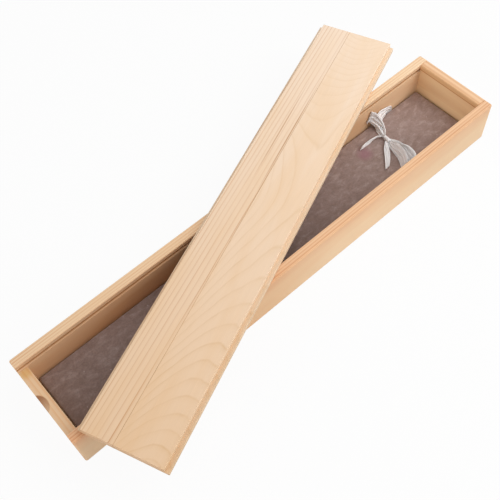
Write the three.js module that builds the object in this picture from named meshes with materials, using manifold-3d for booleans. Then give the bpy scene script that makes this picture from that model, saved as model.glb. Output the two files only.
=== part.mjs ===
// Wooden brush box with its sliding lid lying loose across it, in millimetres.
// The origin is the centre of the underside. +X runs to the far end, +Y to the left side and +Z up.
import * as THREE from "three";
import { mergeVertices } from "three/addons/utils/BufferGeometryUtils.js";
import Module from "manifold-3d";

// Box
const boxLength = 320;
const boxWidth = 60;
const boxHeight = 30;
const sideThickness = 6;
const endThickness = 6;
const cornerRadius = 1.2; // upright outside corners, rounded with abrasive paper
const arris = 0.4; // every other outside edge
const allowance = 1; // wood that the sanding of the glued-up box takes off

// Bottom panel, let into a rebate that is routed round the underside
const panelThickness = 3;
const rebateWidth = 3;
const cutterRadius = 3;
const panelFit = 0.3;

// Lid grooves, ploughed along both sides
const lipThickness = 3;
const grooveHeight = 3;
const grooveDepth = 2.6;

// Nail notch, scooped out of the near end's outer top edge
const notchWidth = 12;
const notchReach = 3.2;
const notchDepth = 2.6;
const notchOffset = 0.5;

// Lid
const slideFit = 0.3; // play of the lid in its grooves
const lidEndFit = 0.4; // play between the closed lid and the far end
const narrowBoardWidth = 19;
const glueLine = 0.3;
const lidCornerRadius = 0.8;
const lidEdge = 0.5; // rounding along the lid's long top edges

// Where the lid lies
const lidX = -2.3;
const lidY = 9.1;
const lidTurn = 22.8; // degrees
const restGap = 0.3;

// Pad
const padPlay = 0.8; // open joint between the pad and the walls
const padBoardThickness = 2;
const waddingThickness = 1.4;
const clothThickness = 0.6;
const clothFit = 0.1;
const padCornerRadius = 1.6;
const padEdge = 0.9;

// Ribbons
const ribbonWidth = 10;
const ribbonThickness = 0.4;
const stepsPerSpan = 4;
const knotFromFarEnd = 47.4;
const knotFromLeftSide = 17.5;
const knotLength = 3.2;
const knotWidth = 4.4;
const knotHeight = 3.6;
const neckWidth = 2.4;
const neckHeight = 3.2;
const softGap = 0.3;

// Fineness of the round edges
const edgeSteps = 3;
const cornerSteps = 6;
const scoopSteps = 48;

// Sizes that follow from the ones above
const innerLength = boxLength - 2 * endThickness;
const innerWidth = boxWidth - 2 * sideThickness;
const grooveFloor = boxHeight - lipThickness - grooveHeight;
const rebateLength = innerLength + 2 * rebateWidth;
const rebateSpan = innerWidth + 2 * rebateWidth;
const lidLength = innerLength - lidEndFit;
const lidThickness = boxHeight - grooveFloor;
const fieldWidth = innerWidth - 2 * slideFit;
const tongueReach = grooveDepth;
const tongueThickness = grooveHeight - slideFit;
const lidWidth = fieldWidth + 2 * tongueReach;
const padLength = innerLength - 2 * padPlay;
const padWidth = innerWidth - 2 * padPlay;
const padTop = panelThickness + padBoardThickness + waddingThickness + clothThickness;
const knotX = innerLength / 2 - knotFromFarEnd;
const knotY = innerWidth / 2 - knotFromLeftSide;

const wasm = await Module();
wasm.setup();

// A closed three.js geometry as a solid that can be cut and joined
function solid(geometry) {
  geometry.deleteAttribute("normal");
  geometry.deleteAttribute("uv");
  const merged = mergeVertices(geometry, 1e-4);
  return new wasm.Manifold(
    new wasm.Mesh({
      numProp: 3,
      vertProperties: merged.attributes.position.array,
      triVerts: new Uint32Array(merged.index.array),
    }),
  );
}

// A named mesh from a finished solid
function piece(name, body, material) {
  const { vertProperties, triVerts } = body.getMesh();
  const geometry = new THREE.BufferGeometry();
  geometry.setAttribute("position", new THREE.BufferAttribute(vertProperties, 3));
  geometry.setIndex(new THREE.BufferAttribute(triVerts, 1));
  const flat = geometry.toNonIndexed();
  flat.computeVertexNormals();
  const mesh = new THREE.Mesh(flat, material);
  mesh.name = name;
  return mesh;
}

function finish(color, roughness) {
  return new THREE.MeshStandardMaterial({ color, roughness, metalness: 0 });
}

// A closed outline through corners [x, y, ease], each rounded over its ease
function easedShape(corners) {
  const shape = new THREE.Shape();
  corners.forEach(([x, y, ease = 0], i) => {
    const corner = new THREE.Vector2(x, y);
    const before = new THREE.Vector2(...corners.at(i - 1));
    const after = new THREE.Vector2(...corners[(i + 1) % corners.length]);
    const start = before.sub(corner).setLength(ease).add(corner);
    const end = after.sub(corner).setLength(ease).add(corner);
    if (i === 0) shape.moveTo(start.x, start.y);
    else shape.lineTo(start.x, start.y);
    if (ease > 0) shape.quadraticCurveTo(x, y, end.x, end.y);
  });
  return shape;
}

// A strip of wood: a section drawn in Y and Z, run along X about the middle
function stripAlongX(section, length) {
  const geometry = new THREE.ExtrudeGeometry(section, {
    depth: length,
    bevelEnabled: false,
    curveSegments: edgeSteps,
  });
  const turn = new THREE.Matrix4().makeBasis(
    new THREE.Vector3(0, 1, 0),
    new THREE.Vector3(0, 0, 1),
    new THREE.Vector3(1, 0, 0),
  );
  return solid(geometry.applyMatrix4(turn).translate(-length / 2, 0, 0));
}

// A strip of wood: a section drawn in X and Z, run along Y about the middle
function stripAlongY(section, length) {
  const geometry = new THREE.ExtrudeGeometry(section, {
    depth: length,
    bevelEnabled: false,
    curveSegments: edgeSteps,
  });
  const turn = new THREE.Matrix4().makeBasis(
    new THREE.Vector3(1, 0, 0),
    new THREE.Vector3(0, 0, 1),
    new THREE.Vector3(0, -1, 0),
  );
  return solid(geometry.applyMatrix4(turn).translate(0, length / 2, 0));
}

// A level slab with round corners in plan, and round edges above and below where edge is given
function slab({ length, width, radius, bottom, top, edge = 0 }) {
  const x = length / 2;
  const y = width / 2;
  const plan = new THREE.Shape();
  plan.moveTo(-x + radius, -y);
  plan.absarc(x - radius, -y + radius, radius, -Math.PI / 2, 0);
  plan.absarc(x - radius, y - radius, radius, 0, Math.PI / 2);
  plan.absarc(-x + radius, y - radius, radius, Math.PI / 2, Math.PI);
  plan.absarc(-x + radius, -y + radius, radius, Math.PI, 1.5 * Math.PI);
  const geometry = new THREE.ExtrudeGeometry(plan, {
    depth: top - bottom - 2 * edge,
    bevelEnabled: edge > 0,
    bevelThickness: edge,
    bevelSize: edge,
    bevelOffset: -edge,
    bevelSegments: edgeSteps,
    curveSegments: cornerSteps,
  });
  return solid(geometry.translate(0, 0, bottom + edge));
}

// The outside of the glued-up box as it leaves the sander
const sandedBox = slab({
  length: boxLength,
  width: boxWidth,
  radius: cornerRadius,
  bottom: 0,
  top: boxHeight,
  edge: arris,
});

// The pocket that takes the bottom panel
const panelPocket = slab({
  length: rebateLength,
  width: rebateSpan,
  radius: cutterRadius,
  bottom: -allowance,
  top: panelThickness,
});

function makeSide(hand) {
  const outer = boxWidth / 2 + allowance;
  const inner = innerWidth / 2;
  const grooveBack = inner + grooveDepth;
  const corners = [
    [outer, -allowance],
    [outer, boxHeight + allowance],
    [inner + arris, boxHeight + allowance],
    [inner + arris, boxHeight],
    [inner, boxHeight - arris],
    [inner, boxHeight - lipThickness],
    [grooveBack, boxHeight - lipThickness],
    [grooveBack, grooveFloor],
    [inner, grooveFloor],
    [inner, -allowance],
  ];
  // The right side is the left one mirrored, so its corners run the other way round
  const section = hand > 0 ? corners : corners.map(([y, z]) => [-y, z]).reverse();
  return stripAlongX(easedShape(section), boxLength + 2 * allowance)
    .intersect(sandedBox)
    .subtract(panelPocket);
}

function makeFarEnd() {
  const inner = boxLength / 2 - endThickness;
  const section = easedShape([
    [inner, -allowance],
    [boxLength / 2 + allowance, -allowance],
    [boxLength / 2 + allowance, boxHeight + allowance],
    [inner + arris, boxHeight + allowance],
    [inner + arris, boxHeight],
    [inner, boxHeight - arris],
  ]);
  return stripAlongY(section, innerWidth).intersect(sandedBox).subtract(panelPocket);
}

// The ball that the cutter leaves: it meets the top over notchReach and the outer face over notchDepth
function makeNotchCutter() {
  const half = notchWidth / 2;
  const out = (half ** 2 - notchReach ** 2) / (2 * notchReach);
  const up = (half ** 2 - notchDepth ** 2) / (2 * notchDepth);
  const radius = Math.hypot(half, out, up);
  const ball = new THREE.SphereGeometry(radius, scoopSteps, scoopSteps / 2);
  return solid(ball.translate(-boxLength / 2 - out, notchOffset, grooveFloor + up));
}

// The near end stops at the groove floor, so that the lid passes over it
function makeNearEnd() {
  const outer = -boxLength / 2;
  const inner = outer + endThickness;
  const section = easedShape([
    [outer - allowance, -allowance],
    [inner, -allowance],
    [inner, grooveFloor, arris],
    [outer, grooveFloor, arris],
    [outer, grooveFloor - 2 * arris],
    [outer - allowance, grooveFloor - 2 * arris],
  ]);
  return stripAlongY(section, innerWidth)
    .intersect(sandedBox)
    .subtract(panelPocket)
    .subtract(makeNotchCutter());
}

function makeBottomPanel() {
  return slab({
    length: rebateLength - 2 * panelFit,
    width: rebateSpan - 2 * panelFit,
    radius: cutterRadius - panelFit,
    bottom: 0,
    top: panelThickness,
  });
}

// The lid as one board: a field that stands between the lips, and a tongue along each side
function makeLidBlank() {
  const tongue = lidWidth / 2 - slideFit;
  const field = fieldWidth / 2;
  const section = easedShape([
    [-tongue, 0, arris],
    [tongue, 0, arris],
    [tongue, tongueThickness, arris],
    [field, tongueThickness],
    [field, lidThickness, lidEdge],
    [-field, lidThickness, lidEdge],
    [-field, tongueThickness],
    [-tongue, tongueThickness, arris],
  ]);
  const sandedLid = slab({
    length: lidLength,
    width: lidWidth,
    radius: lidCornerRadius,
    bottom: 0,
    top: lidThickness,
    edge: arris,
  });
  return stripAlongX(section, lidLength + 2 * allowance).intersect(sandedLid);
}

// The half of the lid on one side of its glue line
function makeLidBoard(hand) {
  const glueY = fieldWidth / 2 - narrowBoardWidth;
  const edgeY = glueY + (hand * glueLine) / 2;
  const half = new THREE.BoxGeometry(2 * lidLength, 2 * lidWidth, 4 * lidThickness);
  const keep = solid(half.translate(0, edgeY + hand * lidWidth, 0));
  return makeLidBlank().intersect(keep);
}

function makePadBoard() {
  return slab({
    length: padLength - 2 * (clothThickness + clothFit),
    width: padWidth - 2 * (clothThickness + clothFit),
    radius: padCornerRadius - clothThickness,
    bottom: panelThickness,
    top: panelThickness + padBoardThickness,
  });
}

function makeWadding() {
  const bottom = panelThickness + padBoardThickness;
  const shape = slab({
    length: padLength - 2 * (clothThickness + clothFit),
    width: padWidth - 2 * (clothThickness + clothFit),
    radius: padCornerRadius - clothThickness,
    bottom: bottom - padEdge,
    top: bottom + waddingThickness,
    edge: padEdge,
  });
  return shape.trimByPlane([0, 0, 1], bottom);
}

// The cloth is drawn over the wadding and down round the board
function makeCover() {
  const outside = slab({
    length: padLength,
    width: padWidth,
    radius: padCornerRadius,
    bottom: panelThickness - padEdge,
    top: padTop,
    edge: padEdge,
  });
  const inside = slab({
    length: padLength - 2 * clothThickness,
    width: padWidth - 2 * clothThickness,
    radius: padCornerRadius - clothThickness,
    bottom: panelThickness - 2 * padEdge,
    top: padTop - clothThickness,
    edge: padEdge - clothFit,
  });
  return outside.trimByPlane([0, 0, 1], panelThickness).subtract(inside);
}

// A strand of ribbon through stations [x, y, z, across x, across y, across z, share of the full width]
function makeStrand(stations) {
  const route = new THREE.CatmullRomCurve3(stations.map(([x, y, z]) => new THREE.Vector3(x, y, z)));
  const spans = stations.length - 1;
  const steps = stepsPerSpan * spans;
  const positions = [];
  for (let i = 0; i <= steps; i++) {
    const at = i / stepsPerSpan;
    const span = Math.min(Math.floor(at), spans - 1);
    const blend = (k) => THREE.MathUtils.lerp(stations[span][k], stations[span + 1][k], at - span);
    const middle = route.getPoint(i / steps);
    const along = route.getTangent(i / steps);
    const across = new THREE.Vector3(blend(3), blend(4), blend(5));
    across.addScaledVector(along, -across.dot(along));
    const through = new THREE.Vector3().crossVectors(along, across).setLength(ribbonThickness / 2);
    across.setLength((ribbonWidth / 2) * blend(6));
    for (const [a, t] of [[1, 1], [-1, 1], [-1, -1], [1, -1]]) {
      const corner = middle.clone().addScaledVector(across, a).addScaledVector(through, t);
      positions.push(corner.x, corner.y, corner.z);
    }
  }
  const index = [];
  for (let i = 0; i < steps; i++) {
    for (let k = 0; k < 4; k++) {
      const a = 4 * i + k;
      const b = 4 * i + ((k + 1) % 4);
      index.push(a, b, b + 4, a, b + 4, a + 4);
    }
  }
  const last = 4 * steps;
  index.push(0, 2, 1, 0, 3, 2, last, last + 1, last + 2, last, last + 2, last + 3);
  const geometry = new THREE.BufferGeometry();
  geometry.setAttribute("position", new THREE.Float32BufferAttribute(positions, 3));
  geometry.setIndex(index);
  return solid(geometry);
}

// Joins a ribbon's strands to the part of it at the knot. Their stations start with the distance along
// the box from the knot, the share of the way from the knot to the wall, and the height over the pad.
function tieRibbon(core, wallY, strands) {
  const place = ([along, share, height, ...lay]) => [
    knotX + along,
    knotY + share * (wallY - knotY),
    padTop + height,
    ...lay,
  ];
  return strands.reduce((ribbon, stations) => ribbon.add(makeStrand(stations.map(place))), core);
}

// The share of the way to the wall at which a fixed end goes down beside the pad
function jointShare(wallY) {
  const jointY = wallY - (Math.sign(wallY) * padPlay) / 2;
  return (jointY - knotY) / (wallY - knotY);
}

function makeLeftRibbon() {
  const wallY = innerWidth / 2;
  const joint = jointShare(wallY);
  const neck = slab({
    length: knotLength,
    width: neckWidth,
    radius: 0.5,
    bottom: padTop + softGap,
    top: padTop + softGap + neckHeight,
    edge: 0.3,
  }).translate([knotX, knotY + knotWidth / 2 + softGap + neckWidth / 2, 0]);
  const fixedEnd = [
    [20.8, joint, -2.8, 1, 0, 0, 0.5],
    [20.4, joint, 0.8, 1, 0, 0, 0.5],
    [18.2, 0.95, 3.4, 0.6, 0, 0.75, 0.58],
    [14.5, 0.935, 3.8, -0.3, 0.1, 0.9, 0.64],
    [10.4, 0.915, 3.9, -0.45, 0.15, 0.87, 0.68],
    [7.4, 0.8, 3.7, -0.3, 0.33, 0.88, 0.6],
    [5, 0.52, 3, 0.1, 0, 1, 0.34],
    [0.9, 0.2, 2.3, 0.4, -0.2, 0.9, 0.2],
  ];
  const loop = [
    [0.9, 0.2, 2.6, 0.2, -0.6, 0.75, 0.2],
    [2.9, 0.33, 3.1, 0.16, -0.73, 0.67, 0.25],
    [4.2, 0.48, 3.9, 0.24, -0.43, 0.87, 0.4],
    [3.8, 0.63, 5.2, 0.24, -0.32, 0.91, 0.62],
    [2.9, 0.78, 6.6, 0.25, -0.3, 0.92, 0.83],
    [1.7, 0.89, 8.3, 0.2, -0.1, 0.96, 0.94],
    [-0.4, 0.92, 9.2, 0, -0.1, 1, 0.95],
    [1, 0.948, 8.4, 0.05, 0.1, 1, 0.8],
    [3.1, 0.9, 5.4, 0.1, 0.05, 1, 0.56],
    [3.5, 0.75, 3.3, 0.15, 0, 1, 0.43],
    [2.8, 0.55, 2.3, 0.5, -0.1, 0.85, 0.34],
    [2, 0.33, 1.9, 0.5, -0.35, 0.8, 0.25],
    [0.8, 0.2, 1.9, 0.4, -0.35, 0.85, 0.2],
  ];
  const tail = [
    [0, 0.2, 1.8, -0.1, 0.05, 1, 0.16],
    [-2.4, 0.33, 2, -0.15, 0, 1, 0.23],
    [-6.3, 0.37, 2.2, -0.24, 0.05, 0.97, 0.32],
    [-10.6, 0.37, 2.3, 0, 0.28, 0.96, 0.35],
    [-14.9, 0.365, 2.2, -0.24, 0.24, 0.94, 0.34],
    [-18, 0.37, 1.9, -0.4, 0.1, 0.91, 0.29],
  ];
  return tieRibbon(neck, wallY, [fixedEnd, loop, tail]);
}

function makeRightRibbon() {
  const wallY = -innerWidth / 2;
  const joint = jointShare(wallY);
  const knot = slab({
    length: knotLength,
    width: knotWidth,
    radius: 1.2,
    bottom: padTop + softGap,
    top: padTop + softGap + knotHeight,
    edge: 0.8,
  }).translate([knotX, knotY, 0]);
  const fixedEnd = [
    [0, 0, 1.2, 1, 0, 0, 0.3],
    [-1.4, 0.18, 0.8, 0.9, 0.3, 0, 0.36],
    [-2.4, 0.35, 0.7, 1, 0.1, 0, 0.42],
    [-3.4, 0.5, 0.7, 1, 0.2, 0, 0.44],
    [-4.8, 0.62, 0.7, 1, 0.2, 0, 0.55],
    [-6.2, 0.78, 0.7, 1, 0, 0, 0.85],
    [-6.6, 0.92, 0.8, 1, 0, 0, 0.9],
    [-6.6, joint - 0.005, 0, 1, 0, 0, 0.9],
    [-6.6, joint, -2.8, 1, 0, 0, 0.9],
  ];
  const loop = [
    [0, 0, 2.4, 0, 0.2, 1, 0.2],
    [0.7, 0.09, 2.8, 0.04, 0.19, 0.98, 0.2],
    [1.4, 0.3, 4.6, 0, -0.09, 1, 0.22],
    [1.5, 0.46, 4.8, -0.05, -0.31, 0.95, 0.68],
    [0.5, 0.63, 5, 0.05, -0.28, 0.96, 0.88],
    [-0.9, 0.76, 5.1, 0, -0.16, 0.99, 0.88],
    [-4.2, 0.86, 5.1, 0, 0, 1, 0.9],
    [-7.6, 0.85, 5.1, 0, -0.1, 1, 0.92],
    [-8.7, 0.76, 5, 0, -0.38, 0.92, 0.95],
    [-6.2, 0.64, 5, 0.02, -0.44, 0.9, 0.96],
    [-4, 0.53, 4.9, 0.05, -0.44, 0.9, 0.94],
    [-3.1, 0.39, 4.5, 0.14, -0.44, 0.89, 0.86],
    [-1.9, 0.24, 3.6, 0.16, -0.53, 0.84, 0.64],
    [-0.3, 0.09, 2.6, 0.43, -0.64, 0.64, 0.3],
    [0, 0, 2.4, 0.43, -0.64, 0.64, 0.25],
  ];
  const tail = [
    [-0.6, 0.02, 2, 0.3, -0.9, -0.1, 0.22],
    [-2.4, 0.07, 1.9, 0.4, -0.88, -0.24, 0.27],
    [-5.8, 0.17, 1.6, 0.57, -0.79, -0.23, 0.35],
    [-8.5, 0.27, 1.5, 0.6, -0.78, -0.19, 0.4],
    [-11.6, 0.38, 1.4, 0.75, -0.65, -0.17, 0.36],
    [-16.2, 0.51, 1.3, 0.51, -0.86, -0.07, 0.28],
  ];
  return tieRibbon(knot, wallY, [fixedEnd, loop, tail]);
}

const sideWood = finish("#e6c096", 0.55);
const endWood = finish("#e3bd8d", 0.6);
const lidWood = finish("#f0d5b0", 0.5);
const panelWood = finish("#dcb98c", 0.65);
const padBoard = finish("#b9a78a", 0.9);
const wadding = finish("#e9e6e0", 0.95);
const velvet = finish("#796660", 0.95);
const ribbon = finish("#c9c1bb", 0.8);

const box = new THREE.Group();
box.add(
  piece("left_side", makeSide(1), sideWood),
  piece("right_side", makeSide(-1), sideWood.clone()),
  piece("far_end", makeFarEnd(), endWood),
  piece("near_end", makeNearEnd(), endWood.clone()),
  piece("bottom_panel", makeBottomPanel(), panelWood),
);

const lining = new THREE.Group();
lining.add(
  piece("pad_board", makePadBoard(), padBoard),
  piece("pad_wadding", makeWadding(), wadding),
  piece("velvet_cover", makeCover(), velvet),
  piece("left_ribbon", makeLeftRibbon(), ribbon),
  piece("right_ribbon", makeRightRibbon(), ribbon.clone()),
);

const lid = new THREE.Group();
lid.add(
  piece("lid_narrow_board", makeLidBoard(1), lidWood),
  piece("lid_wide_board", makeLidBoard(-1), lidWood.clone()),
);
lid.position.set(lidX, lidY, boxHeight + restGap);
lid.rotation.z = THREE.MathUtils.degToRad(lidTurn);

const brushBox = new THREE.Group();
brushBox.add(box, lining, lid);

export default brushBox;
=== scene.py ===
import math

import bpy
import numpy as np
from mathutils import Matrix, Vector, noise
from mathutils.bvhtree import BVHTree


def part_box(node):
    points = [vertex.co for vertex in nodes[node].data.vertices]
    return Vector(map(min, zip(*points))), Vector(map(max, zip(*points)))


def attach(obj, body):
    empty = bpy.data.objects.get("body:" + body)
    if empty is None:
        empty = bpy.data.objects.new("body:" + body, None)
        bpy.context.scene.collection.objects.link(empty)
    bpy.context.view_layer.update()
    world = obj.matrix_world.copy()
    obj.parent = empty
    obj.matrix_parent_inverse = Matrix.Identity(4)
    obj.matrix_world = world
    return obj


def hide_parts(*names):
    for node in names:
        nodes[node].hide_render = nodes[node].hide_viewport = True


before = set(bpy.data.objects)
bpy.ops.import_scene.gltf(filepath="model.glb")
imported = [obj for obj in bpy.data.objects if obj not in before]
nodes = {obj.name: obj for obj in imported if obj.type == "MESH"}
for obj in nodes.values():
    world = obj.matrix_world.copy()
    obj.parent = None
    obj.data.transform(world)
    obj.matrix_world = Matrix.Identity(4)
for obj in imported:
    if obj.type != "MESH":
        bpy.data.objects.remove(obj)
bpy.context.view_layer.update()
scene = bpy.context.scene
mm = 0.001
print("frame loaded:", ", ".join(sorted(nodes)))


# An sRGB hex value as the linear colour that a shader takes
def linear(hexCode):
    parts = [int(hexCode[i : i + 2], 16) / 255 for i in (1, 3, 5)]
    return [c / 12.92 if c <= 0.04045 else ((c + 0.055) / 1.055) ** 2.4 for c in parts] + [1]


# Adds a node. Inputs are values, or the nodes or sockets that feed them; settings are its own options
def addNode(tree, kind, inputs=(), **settings):
    node = tree.nodes.new("ShaderNode" + kind)
    for name, value in settings.items():
        setattr(node, name, value)
    for name, value in dict(inputs).items():
        if isinstance(value, bpy.types.Node):
            value = value.outputs[0]
        if isinstance(value, bpy.types.NodeSocket):
            tree.links.new(value, node.inputs[name])
        else:
            node.inputs[name].default_value = value
    return node


# A map range's inputs, which take one pair of values to another
def fromTo(source, target=(0, 1)):
    return {1: source[0], 2: source[1], 3: target[0], 4: target[1]}


# The place on the object in mm, as in the frame
def placeInMm(tree):
    place = addNode(tree, "TexCoord").outputs["Object"]
    return addNode(tree, "VectorMath", {0: place, "Scale": 1 / mm}, operation="SCALE")


# A soft noise in patches of these sizes in mm
def patches(tree, place, sizes, detail=2, roughness=0.5, distortion=0):
    perSize = tuple(1 / size for size in sizes)
    sized = addNode(tree, "VectorMath", {0: place, 1: perSize}, operation="MULTIPLY")
    settings = {"Detail": detail, "Roughness": roughness, "Distortion": distortion}
    return addNode(tree, "TexNoise", {"Vector": sized, "Scale": 1, **settings}).outputs["Fac"]


# A colour ramp's stops, each a place and an sRGB hex value
def setStops(ramp, stops):
    elements = ramp.color_ramp.elements
    while len(elements) < len(stops):
        elements.new(1)
    for element, (place, hexCode) in zip(elements, stops):
        element.position = place
        element.color = linear(hexCode)
    return ramp


# A new material with its tree emptied down to the output
def newMaterial(name):
    material = bpy.data.materials.new(name)
    material.use_nodes = True
    tree = material.node_tree
    tree.nodes.remove(tree.nodes["Principled BSDF"])
    return material, tree


def finishMaterial(material, shader):
    tree = material.node_tree
    tree.links.new(shader.outputs[0], tree.nodes["Material Output"].inputs["Surface"])
    return material


# A material's surface: its colour, and the gloss, relief and sheen that its look gives
def finishSurface(material, look, colour, height=None, roughness=None):
    tree = material.node_tree
    inputs = {"Base Color": colour, "Roughness": roughness or look["roughness"], "IOR": look["ior"]}
    if height:
        raised = {"Height": height, "Distance": look["relief"] * mm, "Strength": look["bump"]}
        inputs["Normal"] = addNode(tree, "Bump", raised)
    if "sheen" in look:
        inputs["Sheen Weight"] = look["sheen"]
        inputs["Sheen Roughness"] = look["sheenRoughness"]
        inputs["Sheen Tint"] = linear(look["sheenTint"])
    return finishMaterial(material, addNode(tree, "BsdfPrincipled", inputs))


def giveMaterial(obj, material):
    obj.data.materials.clear()
    obj.data.materials.append(material)


def meshObject(name, points, faces):
    mesh = bpy.data.meshes.new(name)
    mesh.from_pydata([tuple(p) for p in points], [], faces)
    mesh.validate()
    mesh.shade_smooth()
    obj = bpy.data.objects.new(name, mesh)
    scene.collection.objects.link(obj)
    return obj


# The camera stands off the box's near right corner, high up, and is rolled a little to the left
cameraLook = {
    "place": (-157.84 * mm, -183.85 * mm, 395.24 * mm),
    "azimuth": -37.388,  # degrees
    "elevation": 58.460,
    "roll": -4.870,
    "lens": 54.73,  # mm
    "sensor": 36,
    "clipStart": 1 * mm,
}


def makeCamera(look):
    data = bpy.data.cameras.new("camera")
    data.sensor_width = look["sensor"]
    data.lens = look["lens"]
    data.clip_start = look["clipStart"]
    camera = bpy.data.objects.new("camera", data)
    scene.collection.objects.link(camera)
    azimuth = math.radians(look["azimuth"])
    elevation = math.radians(look["elevation"])
    level = math.cos(elevation)
    back = Vector((math.sin(azimuth) * level, -math.cos(azimuth) * level, math.sin(elevation)))
    right = Vector((0, 0, 1)).cross(back).normalized()
    facing = Matrix((right, back.cross(right), back)).transposed().to_4x4()
    roll = Matrix.Rotation(math.radians(look["roll"]), 4, "Z")
    camera.matrix_world = Matrix.Translation(look["place"]) @ facing @ roll
    scene.camera = camera


makeCamera(cameraLook)

# White room: an even sky, a white floor, and big soft lamps overhead, on the right and beyond the near end
stageLook = {
    "sky": 0.53,
    "floorColour": "#e4e4e4",
    "floorReach": 6,
    "floorGap": 0.1 * mm,  # under the box, so that the two surfaces don't mix
    "floorWhite": 0.93,  # how much of the floor's own white shows over its shadows
    "lampAim": (0.04, 0, 0),
    "lamps": {
        "side lamp": {"place": (0.4, -0.6, 0.5), "size": 0.5, "watts": 1.9},
        "top lamp": {"place": (0.38, -0.2, 0.62), "size": 0.6, "watts": 2.1},
        "near lamp": {"place": (-1.5, 0, 0.5), "size": 0.6, "watts": 6.4},
    },
}


# Where the eye, or a gloss that it sees, meets the surface
def seenRays(tree):
    path = addNode(tree, "LightPath").outputs
    glossy = {0: path["Is Glossy Ray"], 1: path["Is Transmission Ray"]}
    shiny = addNode(tree, "Math", glossy, operation="MAXIMUM")
    return addNode(tree, "Math", {0: path["Is Camera Ray"], 1: shiny}, operation="MAXIMUM")


def makeStage(look):
    world = bpy.data.worlds.new("white room")
    scene.world = world
    world.use_nodes = True
    tree = world.node_tree
    sky = tree.nodes["Background"]
    sky.inputs["Color"].default_value = (1, 1, 1, 1)
    sky.inputs["Strength"].default_value = look["sky"]
    white = addNode(tree, "Background", {"Color": (1, 1, 1, 1), "Strength": 1})
    both = addNode(tree, "MixShader", {0: seenRays(tree), 1: sky, 2: white})
    tree.links.new(both.outputs[0], tree.nodes["World Output"].inputs["Surface"])

    # Floor: matt white paper, which gives a soft light from below
    material, tree = newMaterial("matt white paper")
    paper = addNode(tree, "BsdfDiffuse", {"Color": linear(look["floorColour"])})
    shown = addNode(tree, "Emission", {"Color": (1, 1, 1, 1), "Strength": 1})
    share = addNode(tree, "Math", {0: seenRays(tree), 1: look["floorWhite"]}, operation="MULTIPLY")
    finishMaterial(material, addNode(tree, "MixShader", {0: share, 1: paper, 2: shown}))
    r = look["floorReach"]
    floor = meshObject("floor", [(-r, -r, 0), (r, -r, 0), (r, r, 0), (-r, r, 0)], [(0, 1, 2, 3)])
    floor.location.z = -look["floorGap"]
    giveMaterial(floor, material)

    for name, own in look["lamps"].items():
        lamp = bpy.data.lights.new(name, "AREA")
        lamp.size = own["size"]
        lamp.energy = own["watts"]
        holder = bpy.data.objects.new(name, lamp)
        scene.collection.objects.link(holder)
        holder.location = own["place"]
        aim = Vector(look["lampAim"]) - holder.location
        holder.rotation_mode = "QUATERNION"
        holder.rotation_quaternion = aim.to_track_quat("-Z", "Y")


makeStage(stageLook)
scene.view_settings.view_transform = "Standard"
print("camera, floor and lights made")


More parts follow.
